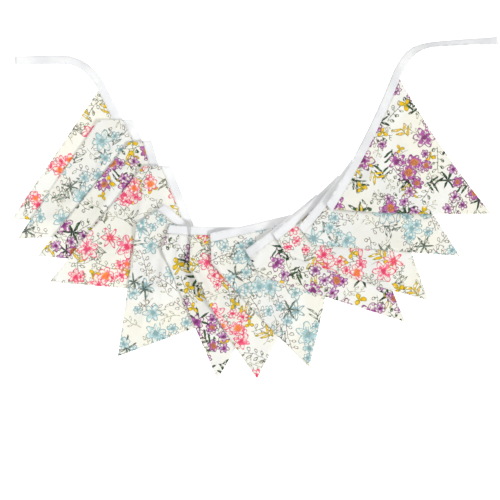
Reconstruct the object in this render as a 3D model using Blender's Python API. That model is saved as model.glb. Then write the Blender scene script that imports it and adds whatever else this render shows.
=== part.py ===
"""Fabric bunting: twelve printed cotton pennants sewn side by side into one folded tape.

The string lies on a flat surface as it is laid out for show: the tape turns back over
itself at the end of each pennant, so that every pennant overlaps the one before it.
Tables and constants are in millimetres, seen from above, with the origin under the
middle of the whole. Meshes are in metres.
"""
import math
from collections import namedtuple

import bpy
import numpy as np
from mathutils import Vector
from mathutils.geometry import delaunay_2d_cdt

MM = 0.001

# The cloth and the tape
TAPE_WIDTH = 10.0
TAPE_THICK = 1.1
CLOTH_THICK = 1.0
SEAM_GAP = 0.4

# The rounded fold of each piece: how far it stands out past its crease, and its hollow side
TAPE_FOLD_REACH = 0.9
CLOTH_FOLD_REACH = 0.6
HOLLOW_SHARE = 0.2
FOLD_TURNS = (45.0, 90.0, 135.0)

# Where the tape tips onto its edge: the share of its rise that the upper edge keeps, and how
# many times thicker it gets at most, seen from above
TIPPED_RISE = 0.6
TIPPED_THICKEST = 1.8

# Mesh spacing, and how a layer settles on the ones under it
SPACING = 14.0
CROWDED = 0.45 * SPACING
CLEAR_OF_EDGES = 0.55 * SPACING
TAPE_STEP = 13.0
CELL = 1.0
EDGE_MARGIN = 1.3
LAYER_GAP = 0.4
DRAPE_REACH = 7.0
DRAPE_SOFTEN = 4.0
SETTLE_ROUNDS = 60
SETTLED = 0.0001
GRID_X = (-315.0, 315.0)
GRID_Y = (-230.0, 230.0)

# Each pennant as it lies, first (lowest) to last (on top). tip, start and end are its three
# corners if it were opened flat, start and end on the tape's outer edge. bow, start_bow and
# end_bow are how far its top edge and its two sides curve outwards. tuck is the length of
# tape folded under at the start, along a crease at the angle crease. gap is the bare tape
# between this pennant and the next.
Pennant = namedtuple("Pennant", "print tip start end bow start_bow end_bow tuck crease gap")
PENNANTS = (
    Pennant("pink", (-291.6, -13.2), (-181.2, 150.5), (-97.2, -19.2), 0, 0, 0, 0, 0, 2.4),
    Pennant("blue", (-284.4, -36.6), (-162.8, 141.4), (-86.4, -30.0), 0, 0, 0, 39.6, 0, 2.4),
    Pennant("purple", (-260.4, -57.6), (-130.1, 104.9), (-69.6, -72.0), -4.4, 0, 0, 25.2, 5, 2.4),
    Pennant("pink", (-246.0, -88.2), (-112.6, 75.4), (-46.8, -102.0), 3.0, 0, 1.5, 28.2, 0, 2.4),
    Pennant("blue", (-164.4, -177.6), (-135.1, 24.4), (8.4, -114.0), 7.0, 0, 0, 35.0, 33, 48.0),
    Pennant("purple", (-45.0, -205.2), (-125.2, -18.2), (52.8, -36.0), 0, 0, 0, 24.4, 71, 2.4),
    Pennant("pink", (2.4, -204.0), (-101.3, -21.4), (86.4, -25.8), 0, 6.0, 2.5, 25.7, 87.5, 2.4),
    Pennant("blue", (64.8, -190.8), (-78.0, -36.1), (102.0, 7.2), -1.0, 2.5, 3.5, 26.0, 92, 2.4),
    Pennant("purple", (179.5, -136.3), (-37.2, -68.0), (106.8, 46.2), -3.6, 0, 0, 32.0, 118, 2.4),
    Pennant("pink", (207.1, -110.3), (4.9, -42.4), (134.4, 75.6), -4.4, 4.0, 3.0, 21.0, 122, 2.4),
    Pennant("blue", (245.4, -57.6), (35.6, -41.6), (145.6, 100.2), -3.0, 0, 0, 26.0, 129, 2.4),
    Pennant("purple", (283.2, -6.6), (81.8, -1.4), (166.6, 164.8), -4.6, 2.5, -4.5, 7.0, 132, 0.0),
)
LEAST_TUCK = 8.0

# The tape's two free ends: points of its outer edge and its width seen from above, which is
# less than TAPE_WIDTH where the tape tips onto its edge.
TailPoint = namedtuple("TailPoint", "x y width")
FIRST_TAIL = (
    TailPoint(-288.0, 181.8, 10.0),
    TailPoint(-252.0, 182.4, 10.0),
    TailPoint(-222.0, 182.0, 9.6),
    TailPoint(-209.5, 177.8, 9.4),
    TailPoint(-199.8, 172.0, 9.4),
    TailPoint(-190.2, 163.0, 9.8),
)
LAST_TAIL = (
    TailPoint(174.0, 177.6, 10.0),
    TailPoint(181.2, 187.0, 9.8),
    TailPoint(189.6, 193.0, 8.8),
    TailPoint(200.4, 196.8, 6.8),
    TailPoint(212.0, 198.8, 6.0),
    TailPoint(234.0, 200.9, 6.8),
    TailPoint(258.0, 202.8, 7.2),
    TailPoint(276.0, 203.9, 8.2),
    TailPoint(290.8, 205.2, 9.4),
)

CLOTH_COLOURS = {
    "pink": (0.80, 0.60, 0.52),
    "blue": (0.62, 0.68, 0.66),
    "purple": (0.66, 0.50, 0.55),
}
TAPE_COLOUR = (0.86, 0.86, 0.84)


def unit(vector):
    return vector / np.hypot(*vector)


def mirrored(points, through, along):
    """The points reflected across the line through a point, along a unit direction."""
    offset = np.asarray(points) - through
    return through + 2.0 * np.outer(offset @ along, along) - offset


def side_of(points, through, along):
    """Positive on the left of the line, as seen from above."""
    offset = np.asarray(points) - through
    return along[0] * offset[..., 1] - along[1] * offset[..., 0]


def direction(degrees):
    return np.array([math.cos(math.radians(degrees)), math.sin(math.radians(degrees))])


class TopEdge:
    """The bowed edge of one pennant, where the tape holds it, from start to end."""

    def __init__(self, row):
        self.start = np.array(row.start)
        self.chord = np.array(row.end) - self.start
        self.length = np.hypot(*self.chord)
        self.forward = self.chord / self.length
        self.outward = np.array([-self.forward[1], self.forward[0]])
        self.bow = row.bow

    def tangent(self, u):
        return unit(self.chord + self.outward * self.bow * 4.0 * (1.0 - 2.0 * u))

    def point(self, u, depth=0.0):
        """The point a share u of the way along, a depth in from the tape's outer edge."""
        tangent = self.tangent(u)
        inward = np.array([tangent[1], -tangent[0]])
        rise = self.bow * 4.0 * u * (1.0 - u)
        return self.start + self.chord * u + self.outward * rise + inward * depth

    def meets(self, through, along, depth, low, high):
        """The share u at which the edge, at that depth, crosses a line."""
        sign = np.sign(side_of(self.point(low, depth), through, along))
        for _ in range(40):
            middle = (low + high) / 2.0
            if np.sign(side_of(self.point(middle, depth), through, along)) == sign:
                low = middle
            else:
                high = middle
        return low


Crease = namedtuple("Crease", "through along")


def start_crease(row, edge):
    """Where the tape turns face up again and the pennant's first corner is tucked under."""
    return Crease(edge.point(row.tuck / edge.length), direction(row.crease))


def tucked_corner(row, edge, crease):
    """Where the pennant's start corner lies once it is folded under."""
    return mirrored([edge.point(0.0)], crease.through, crease.along)[0]


def end_crease(edge, target, gap):
    """Where the tape turns back, so that the next pennant follows on at its own corner.

    The stretch past the crease, folded over, just reaches the next pennant's corner.
    """
    low, high = 0.3, 0.99
    for _ in range(40):
        middle = (low + high) / 2.0
        spare = (1.0 - middle) * edge.length + gap
        if np.hypot(*(target - edge.point(middle))) < spare:
            low = middle
        else:
            high = middle
    through = edge.point(low)
    back = unit(target - through)
    sum_of_ways = edge.tangent(low) + back
    return Crease(through, unit(sum_of_ways))


def lay_out():
    """The edge, start crease and end crease of every pennant."""
    edges = [TopEdge(row) for row in PENNANTS]
    starts = [None]
    for row, edge in zip(PENNANTS[1:], edges[1:]):
        starts.append(start_crease(row, edge))
    ends = []
    for index in range(len(PENNANTS) - 1):
        following = index + 1
        target = tucked_corner(PENNANTS[following], edges[following], starts[following])
        ends.append(end_crease(edges[index], target, PENNANTS[index].gap))
    ends.append(None)
    return edges, starts, ends


class Leaf:
    """One flat stretch of a folded piece: its points in plan, its triangles, its height."""

    def __init__(self, plan, triangles, thick, face_up, lift=None):
        self.plan = np.asarray(plan, dtype=float)
        self.triangles = triangles
        self.thick = np.broadcast_to(thick, (len(self.plan),)).astype(float)
        self.face_up = face_up
        self.lift = np.zeros(len(self.plan)) if lift is None else lift
        self.bottom = None
        self.covers = []

    @property
    def top(self):
        return self.bottom + self.thick


Fold = namedtuple("Fold", "lower upper lower_ids upper_ids outward reach face_outside")


class Piece:
    """A length of cloth or tape: its leaves and the folds that join them."""

    def __init__(self, name):
        self.name = name
        self.leaves = []
        self.folds = []

    def solid(self, colour):
        """The closed mesh: a face side, a back side and the walls between them."""
        face = []
        back = []
        triangles = []
        first = []
        for leaf in self.leaves:
            first.append(len(face))
            upper = np.column_stack([leaf.plan, leaf.top])
            lower = np.column_stack([leaf.plan, leaf.bottom])
            face.extend(upper if leaf.face_up else lower)
            back.extend(lower if leaf.face_up else upper)
            offset = first[-1]
            triangles.extend([tuple(i + offset for i in tri) for tri in leaf.triangles])
        for fold in self.folds:
            rows = [[first[fold.lower] + i for i in fold.lower_ids]]
            for turn in FOLD_TURNS:
                outer, inner = self.bend(fold, math.radians(turn))
                start = len(face)
                face.extend(outer if fold.face_outside else inner)
                back.extend(inner if fold.face_outside else outer)
                rows.append(list(range(start, len(face))))
            rows.append([first[fold.upper] + i for i in fold.upper_ids])
            for near, far in zip(rows, rows[1:]):
                for i in range(len(near) - 1):
                    triangles.append((near[i], near[i + 1], far[i + 1]))
                    triangles.append((near[i], far[i + 1], far[i]))
        return make_object(self.name, face, back, triangles, colour)

    def bend(self, fold, angle):
        """The outer and inner points of a fold, part of the way round it."""
        lower = self.leaves[fold.lower]
        upper = self.leaves[fold.upper]
        plan = lower.plan[fold.lower_ids]
        reach = fold.outward * math.sin(angle)
        share = (1.0 - math.cos(angle)) / 2.0
        outer_low = lower.bottom[fold.lower_ids]
        outer_high = upper.top[fold.upper_ids]
        inner_low = lower.top[fold.lower_ids]
        inner_high = upper.bottom[fold.upper_ids]
        outer = np.column_stack(
            [plan + reach * fold.reach, outer_low + (outer_high - outer_low) * share]
        )
        inner = np.column_stack(
            [plan + reach * fold.reach * HOLLOW_SHARE, inner_low + (inner_high - inner_low) * share]
        )
        return outer, inner


def make_object(name, face, back, triangles, colour):
    count = len(face)
    points = [Vector(p) * MM for p in list(face) + list(back)]
    faces = [tuple(tri) for tri in triangles]
    faces += [tuple(i + count for i in reversed(tri)) for tri in triangles]
    borders = {}
    for tri in triangles:
        for a, b in zip(tri, tri[1:] + tri[:1]):
            borders[(a, b)] = True
    for a, b in borders:
        if (b, a) not in borders:
            faces.append((b, a, a + count))
            faces.append((b, a + count, b + count))
    mesh = bpy.data.meshes.new(name)
    mesh.from_pydata(points, [], faces)
    mesh.validate()
    mesh.materials.append(cloth_material(name, colour))
    item = bpy.data.objects.new(name, mesh)
    bpy.context.scene.collection.objects.link(item)
    return item


def cloth_material(name, colour):
    material = bpy.data.materials.new(name + "_cloth")
    material.use_nodes = True
    shader = material.node_tree.nodes["Principled BSDF"]
    shader.inputs["Base Color"].default_value = (*colour, 1.0)
    shader.inputs["Roughness"].default_value = 0.85
    shader.inputs["Metallic"].default_value = 0.0
    return material


def outline_of(row, edge):
    """The pennant's cut edge below the tape, counter-clockwise from the tip."""
    tip = np.array(row.tip)
    depth = TAPE_WIDTH + SEAM_GAP
    start_side = unit(tip - edge.point(0.0))
    end_side = unit(tip - edge.point(1.0))
    u_start = edge.meets(tip, start_side, depth, -0.1, 0.5)
    u_end = edge.meets(tip, end_side, depth, 0.5, 1.1)
    steps = max(2, round((u_end - u_start) * edge.length / SPACING))
    shares = [u_end + (u_start - u_end) * i / steps for i in range(steps + 1)]
    top = [edge.point(u, depth) for u in shares]
    end_run = bowed_side(tip, top[0], row.end_bow)
    start_run = bowed_side(top[-1], tip, row.start_bow)
    return [tip, *end_run, *top, *start_run]


def bowed_side(a, b, bow):
    """The points between the ends of a side that curves outwards, to the right of its way."""
    way = b - a
    outward = np.array([way[1], -way[0]]) / np.hypot(*way)
    steps = round(np.hypot(*way) / SPACING)
    shares = [i / steps for i in range(1, steps)]
    return [a + way * u + outward * bow * 4.0 * u * (1.0 - u) for u in shares]


def with_crossings(corners, crease):
    """The outline with the two points added where a crease crosses it, and their indices."""
    result = []
    marks = []
    for a, b in zip(corners, corners[1:] + corners[:1]):
        result.append(a)
        side_a = side_of(a, *crease)
        side_b = side_of(b, *crease)
        if side_a * side_b < 0.0:
            marks.append(a + (b - a) * side_a / (side_a - side_b))
            result.append(marks[-1])
    return result, marks


def thinned(corners, kept):
    """The outline without its top-edge points that crowd a crossing."""
    result = []
    for index, point in enumerate(corners):
        fixed = index == 0 or any(point is mark for mark in kept)
        crowded = any(0.0 < np.hypot(*(point - mark)) < CROWDED for mark in kept)
        if fixed or not crowded:
            result.append(point)
    return result


def divided(a, b):
    """The points of a straight run after a and before b, evenly spaced."""
    count = max(1, round(np.hypot(*(b - a)) / SPACING))
    return [a + (b - a) * i / count for i in range(1, count)]


def far_from(point, runs, distance):
    for a, b in runs:
        along = b - a
        share = np.clip(np.dot(point - a, along) / np.dot(along, along), 0.0, 1.0)
        if np.hypot(*(point - a - along * share)) < distance:
            return False
    return True


def inside(point, corners):
    crossings = 0
    for a, b in zip(corners, corners[1:] + corners[:1]):
        if (a[1] > point[1]) != (b[1] > point[1]):
            if point[0] < a[0] + (b[0] - a[0]) * (point[1] - a[1]) / (b[1] - a[1]):
                crossings += 1
    return crossings % 2 == 1


def triangulated(corners, chords):
    """Triangles over the outline, with the chords kept as edges. Gives points, triangles, rows."""
    points = []
    for a, b in zip(corners, corners[1:] + corners[:1]):
        points.append(a)
        points.extend(divided(a, b))
    loop = list(range(len(points)))
    edges = list(zip(loop, loop[1:] + loop[:1]))
    rows = []
    for a, b in chords:
        index_a = next(i for i, p in enumerate(points) if p is a)
        index_b = next(i for i, p in enumerate(points) if p is b)
        middle = divided(a, b)
        row = [index_a, *range(len(points), len(points) + len(middle)), index_b]
        points.extend(middle)
        edges.extend(zip(row, row[1:]))
        rows.append(row)
    runs = [(points[i], points[j]) for i, j in edges]
    low = np.min(points, axis=0)
    high = np.max(points, axis=0)
    row_step = SPACING * math.sqrt(3.0) / 2.0
    for j in range(int((high[1] - low[1]) / row_step) + 1):
        for i in range(int((high[0] - low[0]) / SPACING) + 1):
            spot = low + np.array([(i + 0.5 * (j % 2)) * SPACING, (j + 0.5) * row_step])
            if inside(spot, corners) and far_from(spot, runs, CLEAR_OF_EDGES):
                points.append(spot)
    result = delaunay_2d_cdt([Vector(p) for p in points], edges, [], 1, 1e-4)
    source = [ids[0] for ids in result[3]]
    triangles = [tuple(source[i] for i in tri) for tri in result[2]]
    return np.array(points), triangles, rows


def leaf_from(points, triangles, crease, face_up):
    """A leaf of the given triangles, folded over its crease if it has one, and its index map."""
    used = sorted({i for tri in triangles for i in tri})
    place = {old: new for new, old in enumerate(used)}
    plan = points[used]
    if crease is not None:
        plan = mirrored(plan, *crease)
    local = [tuple(place[i] for i in tri) for tri in triangles]
    return Leaf(plan, local, CLOTH_THICK, face_up), place


def ordered(row, points, crease, panel_middle, panel_left):
    """A crease's points, turned so that the panel is on the asked side of the way along it."""
    way = points[row[-1]] - points[row[0]]
    on_left = side_of(panel_middle, points[row[0]], unit(way)) > 0.0
    return row if on_left == panel_left else row[::-1]


def outward_from(crease, middle):
    """The way across a crease, away from the cloth that it bounds."""
    across = np.array([-crease.along[1], crease.along[0]])
    return -across if side_of(middle, *crease) > 0.0 else across


def cut_pennant(name, row, edge, start, end):
    """A pennant as up to three leaves: tucked corner, panel, and corner folded over."""
    start = start if row.tuck > LEAST_TUCK else None
    corners = outline_of(row, edge)
    kept = []
    chords = []
    for crease in (start, end):
        if crease is not None:
            corners, marks = with_crossings(corners, crease)
            kept += marks
            chords.append(tuple(marks))
    corners = thinned(corners, kept)
    points, triangles, rows = triangulated(corners, chords)
    tip = np.array(row.tip)
    tucked = []
    folded = []
    panel = []
    for tri in triangles:
        middle = points[list(tri)].mean(axis=0)
        if start and side_of(middle, *start) * side_of(tip, *start) < 0.0:
            tucked.append(tri)
        elif end and side_of(middle, *end) * side_of(tip, *end) < 0.0:
            folded.append(tri)
        else:
            panel.append(tri)
    piece = Piece(name)
    panel_leaf, panel_ids = leaf_from(points, panel, None, True)
    panel_middle = panel_leaf.plan.mean(axis=0)
    leaves = {"panel": panel_leaf}
    piece.leaves.append(panel_leaf)
    if start:
        leaf, ids = leaf_from(points, tucked, start, False)
        leaves["tucked"] = leaf
        piece.leaves.append(leaf)
        row_ids = ordered(rows[0], points, start, panel_middle, True)
        piece.folds.append(
            Fold(1, 0, [ids[i] for i in row_ids], [panel_ids[i] for i in row_ids],
                 outward_from(start, panel_middle), CLOTH_FOLD_REACH, True)
        )
    if end:
        leaf, ids = leaf_from(points, folded, end, False)
        leaves["folded"] = leaf
        piece.leaves.append(leaf)
        row_ids = ordered(rows[-1], points, end, panel_middle, False)
        piece.folds.append(
            Fold(0, len(piece.leaves) - 1, [panel_ids[i] for i in row_ids],
                 [ids[i] for i in row_ids], outward_from(end, panel_middle),
                 CLOTH_FOLD_REACH, False)
        )
    return piece, leaves


def smooth_run(rows, ends):
    """Points of a smooth curve through a tail's points, with widths, about TAPE_STEP apart."""
    guide = [np.array(r) for r in rows]
    guide = [2.0 * guide[0] - guide[1], *guide, ends]
    result = []
    for p0, p1, p2, p3 in zip(guide, guide[1:], guide[2:], guide[3:]):
        steps = max(1, round(np.hypot(*(p2 - p1)[:2]) / TAPE_STEP))
        for i in range(steps):
            t = i / steps
            result.append(
                0.5 * ((2.0 * p1) + (p2 - p0) * t + (2.0 * p0 - 5.0 * p1 + 4.0 * p2 - p3) * t**2
                       + (3.0 * p1 - p0 - 3.0 * p2 + p3) * t**3)
            )
    result.append(guide[-2])
    return result


def tail_stations(run):
    """Outer and inner points and the inner edge's lift, along a tail."""
    stations = []
    for i, point in enumerate(run):
        before = run[max(i - 1, 0)]
        after = run[min(i + 1, len(run) - 1)]
        way = unit((after - before)[:2])
        inward = np.array([way[1], -way[0]])
        lift = math.sqrt(max(0.0, TAPE_WIDTH**2 - point[2] ** 2))
        stations.append((point[:2], point[:2] + inward * point[2], lift * TIPPED_RISE))
    return stations


def edge_stations(edge, u_low, u_high):
    """Outer and inner points of the tape along a pennant's edge, both ends included."""
    (outer_low, inner_low), (outer_high, inner_high) = u_low, u_high
    steps = max(1, round((outer_high - outer_low) * edge.length / TAPE_STEP))
    stations = []
    for i in range(steps + 1):
        share = i / steps
        outer = edge.point(outer_low + (outer_high - outer_low) * share)
        inner = edge.point(inner_low + (inner_high - inner_low) * share, TAPE_WIDTH)
        stations.append((outer, inner, 0.0))
    return stations


def between(station, following):
    """Evenly spaced stations on a bare stretch of tape between two pennants."""
    steps = max(1, round(np.hypot(*(following[0] - station[0])) / TAPE_STEP))
    shares = [i / steps for i in range(1, steps)]
    return [tuple(a + (b - a) * u for a, b in zip(station, following)) for u in shares]


def crease_shares(edge, crease):
    """Where a crease crosses the tape's outer and inner edges."""
    return tuple(edge.meets(*crease, depth, -0.05, 1.05) for depth in (0.0, TAPE_WIDTH))


def flipped(stations, crease):
    outer = mirrored([s[0] for s in stations], *crease)
    inner = mirrored([s[1] for s in stations], *crease)
    return [(o, i, s[2]) for o, i, s in zip(outer, inner, stations)]


def strip_leaf(stations, face_up):
    """A leaf of tape from its stations: inner points first, then outer ones."""
    count = len(stations)
    plan = [s[1] for s in stations] + [s[0] for s in stations]
    lift = np.array([s[2] for s in stations] + [0.0] * count)
    widths = np.array([np.hypot(*(s[0] - s[1])) for s in stations] * 2)
    thick = TAPE_THICK * np.clip(TAPE_WIDTH / widths, 1.0, TIPPED_THICKEST)
    triangles = []
    for i in range(count - 1):
        inner, outer = i, i + count
        triangles.append((inner, inner + 1, outer + 1))
        triangles.append((inner, outer + 1, outer))
    return Leaf(plan, triangles, thick, face_up, lift)


def lay_tape(edges, starts, ends):
    """The whole tape, tail to tail: a leaf along each pennant, one for each way back."""
    tape = Piece("tape")
    runs = []
    last = len(PENNANTS) - 1
    for index, edge in enumerate(edges):
        low = crease_shares(edge, starts[index]) if starts[index] else (0.0, 0.0)
        high = crease_shares(edge, ends[index]) if ends[index] else (1.0, 1.0)
        along = edge_stations(edge, low, high)
        if index == 0:
            join = np.array([*edge.point(0.0), TAPE_WIDTH])
            after = np.array([*edge.point(0.05), TAPE_WIDTH])
            run = smooth_run([*FIRST_TAIL, tuple(join)], after)
            along = tail_stations(run)[:-1] + along
        if index == last:
            join = np.array([*edge.point(1.0), TAPE_WIDTH])
            final = 2.0 * np.array(LAST_TAIL[-1]) - np.array(LAST_TAIL[-2])
            run = smooth_run([tuple(join), *LAST_TAIL], final)
            along = along + tail_stations(run)[1:]
        runs.append(strip_leaf(along, True))
        if index < last:
            following = edges[index + 1]
            turned = flipped(edge_stations(edge, high, (1.0, 1.0)), ends[index])
            first = crease_shares(following, starts[index + 1])
            tucked = flipped(edge_stations(following, (0.0, 0.0), first), starts[index + 1])
            bare = between(turned[-1], tucked[0])
            runs.append(strip_leaf(turned + bare + tucked, False))
    tape.leaves = runs
    for upper in range(1, len(runs)):
        lower_count = len(runs[upper - 1].plan) // 2
        upper_count = len(runs[upper].plan) // 2
        face_outside = upper % 2 == 0
        crease = starts[upper // 2] if face_outside else ends[upper // 2]
        middle = (runs[upper].plan[1] + runs[upper - 1].plan[-2]) / 2.0
        tape.folds.append(
            Fold(upper - 1, upper, [2 * lower_count - 1, lower_count - 1],
                 [upper_count, 0], outward_from(crease, middle), TAPE_FOLD_REACH,
                 face_outside)
        )
    return tape


class Heap:
    """The height of everything laid so far, on a fine grid over the surface."""

    def __init__(self):
        self.xs = np.arange(GRID_X[0], GRID_X[1], CELL)
        self.ys = np.arange(GRID_Y[0], GRID_Y[1], CELL)
        self.height = np.zeros((len(self.xs), len(self.ys)))

    def cells(self, corners):
        """The grid cells over a triangle and a narrow margin, with their weights."""
        low = corners.min(axis=0) - EDGE_MARGIN
        high = corners.max(axis=0) + EDGE_MARGIN
        i0, j0 = ((low - (GRID_X[0], GRID_Y[0])) / CELL).astype(int)
        i1, j1 = ((high - (GRID_X[0], GRID_Y[0])) / CELL).astype(int) + 2
        gx, gy = np.meshgrid(self.xs[i0:i1], self.ys[j0:j1], indexing="ij")
        a, b, c = corners
        area = (b[0] - a[0]) * (c[1] - a[1]) - (b[1] - a[1]) * (c[0] - a[0])
        weights = []
        near = np.ones_like(gx, dtype=bool)
        for p, q in ((b, c), (c, a), (a, b)):
            twice = (q[0] - p[0]) * (gy - p[1]) - (q[1] - p[1]) * (gx - p[0])
            weights.append(twice / area)
            near &= twice * np.sign(area) / np.hypot(*(q - p)) > -EDGE_MARGIN
        i, j = np.nonzero(near)
        table = np.stack([w[i, j] for w in weights], axis=1)
        table = np.clip(table, 0.0, 1.0)
        table /= table.sum(axis=1, keepdims=True)
        return i + i0, j + j0, table

    def support(self):
        """A soft surface over the heap, which a layer of cloth can follow."""
        reach = int(DRAPE_REACH / CELL)
        surface = widened(self.height, reach)
        return softened(surface, DRAPE_SOFTEN / CELL)

    def settle(self, leaves):
        """Lays leaves that share one level: they follow the support and clear the heap."""
        surface = self.support()
        floor = widened(self.height, 1)
        for leaf in leaves:
            spots = (leaf.plan - (GRID_X[0], GRID_Y[0])) / CELL
            i, j = np.round(spots).astype(int).T
            leaf.bottom = surface[i, j] + leaf.lift
            leaf.covers = [self.cells(leaf.plan[list(tri)]) for tri in leaf.triangles]
            for _ in range(SETTLE_ROUNDS):
                raised = False
                for tri, (ci, cj, weights) in zip(leaf.triangles, leaf.covers):
                    ids = list(tri)
                    short = floor[ci, cj] - weights @ leaf.bottom[ids]
                    worst = int(np.argmax(short)) if len(short) else 0
                    if len(short) and short[worst] > SETTLED:
                        share = weights[worst]
                        leaf.bottom[ids] += share * short[worst] / np.dot(share, share)
                        raised = True
                if not raised:
                    break
        for leaf in leaves:
            for tri, (ci, cj, weights) in zip(leaf.triangles, leaf.covers):
                top = weights @ leaf.top[list(tri)] + LAYER_GAP
                np.maximum.at(self.height, (ci, cj), top)


def widened(surface, reach):
    """Each height becomes the highest within reach of it, across and along."""
    result = surface.copy()
    for axis in (0, 1):
        source = result.copy()
        for shift in range(-reach, reach + 1):
            result = np.maximum(result, np.roll(source, shift, axis=axis))
    return result


def softened(surface, spread):
    """The surface blurred by a bell curve of the given spread, in cells."""
    radius = int(3 * spread)
    offsets = np.arange(-radius, radius + 1)
    bell = np.exp(-0.5 * (offsets / spread) ** 2)
    bell /= bell.sum()
    result = surface
    for axis in (0, 1):
        result = sum(w * np.roll(result, s, axis=axis) for s, w in zip(offsets, bell))
    return result


def build():
    for item in list(bpy.data.objects):
        bpy.data.objects.remove(item, do_unlink=True)
    edges, starts, ends = lay_out()
    tape = lay_tape(edges, starts, ends)
    pennants = []
    for index, row in enumerate(PENNANTS):
        name = f"pennant_{index + 1:02d}"
        pennants.append(cut_pennant(name, row, edges[index], starts[index], ends[index]))
    heap = Heap()
    for index in range(len(PENNANTS)):
        heap.settle([tape.leaves[2 * index], pennants[index][1]["panel"]])
        if index + 1 < len(PENNANTS):
            level = [tape.leaves[2 * index + 1], pennants[index][1]["folded"]]
            if "tucked" in pennants[index + 1][1]:
                level.append(pennants[index + 1][1]["tucked"])
            heap.settle(level)
    tape.solid(TAPE_COLOUR)
    for (piece, _), row in zip(pennants, PENNANTS):
        piece.solid(CLOTH_COLOURS[row.print])


build()
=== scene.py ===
"""Looks of the fabric bunting: printed cotton pennants in a white folded tape, laid flat."""
import math
from collections import namedtuple

import bmesh
import bpy
import numpy as np
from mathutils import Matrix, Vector
from mathutils.bvhtree import BVHTree


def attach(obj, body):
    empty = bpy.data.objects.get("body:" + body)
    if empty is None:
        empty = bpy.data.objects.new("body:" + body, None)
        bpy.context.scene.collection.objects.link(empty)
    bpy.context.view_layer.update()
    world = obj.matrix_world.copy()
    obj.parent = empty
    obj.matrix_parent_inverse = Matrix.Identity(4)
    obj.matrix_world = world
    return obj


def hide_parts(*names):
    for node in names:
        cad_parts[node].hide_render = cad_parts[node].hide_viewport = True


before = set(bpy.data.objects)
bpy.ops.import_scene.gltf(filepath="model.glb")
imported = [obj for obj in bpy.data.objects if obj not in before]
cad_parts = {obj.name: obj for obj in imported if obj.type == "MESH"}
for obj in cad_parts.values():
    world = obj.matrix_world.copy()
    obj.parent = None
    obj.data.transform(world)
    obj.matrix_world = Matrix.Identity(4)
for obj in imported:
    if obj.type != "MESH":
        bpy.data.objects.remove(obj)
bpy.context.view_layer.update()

# The pennants. Each is two triangles of thin printed cotton sewn together, turned right side
# out and pressed, and caught by its top edge in the tape. They lie fanned out over each other,
# with soft puckers from their seams and from being folded away.
MM = 0.001

# One pucker to a row, seen from above, in millimetres and degrees: its middle, the way it
# runs, how far it reaches along and across, how high it rises (a trough where negative), and
# the first pennant that it lifts. All that lies above rises with it, so that no layer cuts
# through another. The tape counts as the first, and is clear of those that start higher up.
Pucker = namedtuple("Pucker", "x y along long wide rise lowest", defaults=(1,))
PUCKERS = (
    Pucker(-150, 92, 40, 16, 5, 2.6),
    Pucker(-176, 60, 55, 26, 4.3, 2.4),
    Pucker(-205, 22, 48, 30, 5, 2.8),
    Pucker(-238, -8, 50, 22, 5, 2.0),
    Pucker(-158, 44, 35, 16, 5.6, 3.2),
    Pucker(-178, 8, 60, 24, 5, 2.4),
    Pucker(-130, 26, 72, 22, 4.3, 2.8),
    Pucker(-172, -48, 28, 34, 5.6, 2.8),
    Pucker(-138, -12, 80, 20, 5, 3.0),
    Pucker(-118, -52, 64, 16, 5, 3.0),
    Pucker(-110, -84, 88, 26, 5, 3.2),
    Pucker(-128, -120, 70, 24, 5.6, 2.4),
    Pucker(-84, -118, 24, 22, 5, 2.2),
    Pucker(-92, -56, 74, 20, 3.7, 3.6),
    Pucker(-62, -96, 116, 28, 3.1, 4.0),
    Pucker(-74, -62, 112, 20, 2.5, -3.2),
    Pucker(-34, -84, 118, 26, 4.3, 3.0),
    Pucker(2, -60, 60, 20, 5.6, 3.4),
    Pucker(22, -96, 118, 26, 5, 2.8),
    Pucker(0, -128, 126, 22, 4.3, 2.0),
    Pucker(52, -60, 150, 20, 4.3, 2.6),
    Pucker(48, -118, 80, 22, 5, 2.6),
    Pucker(104, -82, 160, 32, 4.3, 2.6),
    Pucker(92, -30, 150, 22, 3.7, 2.8),
    Pucker(150, -58, 155, 26, 3.7, 2.4),
    Pucker(118, -8, 172, 26, 4.3, 2.6),
    Pucker(186, -16, 176, 30, 4.3, 2.0),
    Pucker(140, 40, 62, 26, 6.2, 3.2),
    Pucker(186, 66, 118, 26, 5.6, 2.8),
    Pucker(206, 26, 12, 30, 6.2, 2.6),
    Pucker(168, 112, 64, 20, 5, 2.2),
    Pucker(-66, -88, 118, 36, 6, 8.8, 7),
    Pucker(-80, -116, 90, 16, 2.6, 2.6, 6),
    Pucker(-14, -84, 124, 26, 5, 3.0, 8),
    Pucker(130, -6, 0, 60, 6, 1.2, 12),
)
# Slow waves that run through every layer alike: length, heading in radians, height and shift.
WAVES = ((26.0, 0.35, 0.9, 0.0), (41.0, 1.25, 0.6, 1.3), (63.0, 2.30, 0.5, 2.1))
WAVE_SHARE = 0.25


def lie_of(x, y, layer):
    """How far the cloth stands up at a place, in metres, from the puckers and the slow waves."""
    rise = np.zeros_like(x)
    for row in PUCKERS:
        if row.lowest > layer:
            continue
        c, s = math.cos(math.radians(row.along)), math.sin(math.radians(row.along))
        along = ((x - row.x) * c + (y - row.y) * s) / row.long
        across = ((y - row.y) * c - (x - row.x) * s) / row.wide
        rise += row.rise * np.exp(-(along**2) - across**2)
    for length, heading, height, shift in WAVES:
        way = x * math.cos(heading) + y * math.sin(heading)
        rise += WAVE_SHARE * height * (1.0 + np.sin(way * 2.0 * math.pi / length + shift))
    return np.maximum(rise, 0.0) * MM


FINE = 2.8 * MM
LONG_EDGE = FINE * 1.5
CUTTING_ROUNDS = 7
WELD = 0.02 * MM
SLIVER = 0.1 * MM
FLAT_FACE = 0.15
RIM_LEAN = 0.35
FULLER = 0.14 * MM
FACE_TURN = 3.0
EASING = 0.5
SHARP_EDGE = math.radians(50.0)


def lies_flat(face):
    return abs(face.normal.z) > FLAT_FACE


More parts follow.
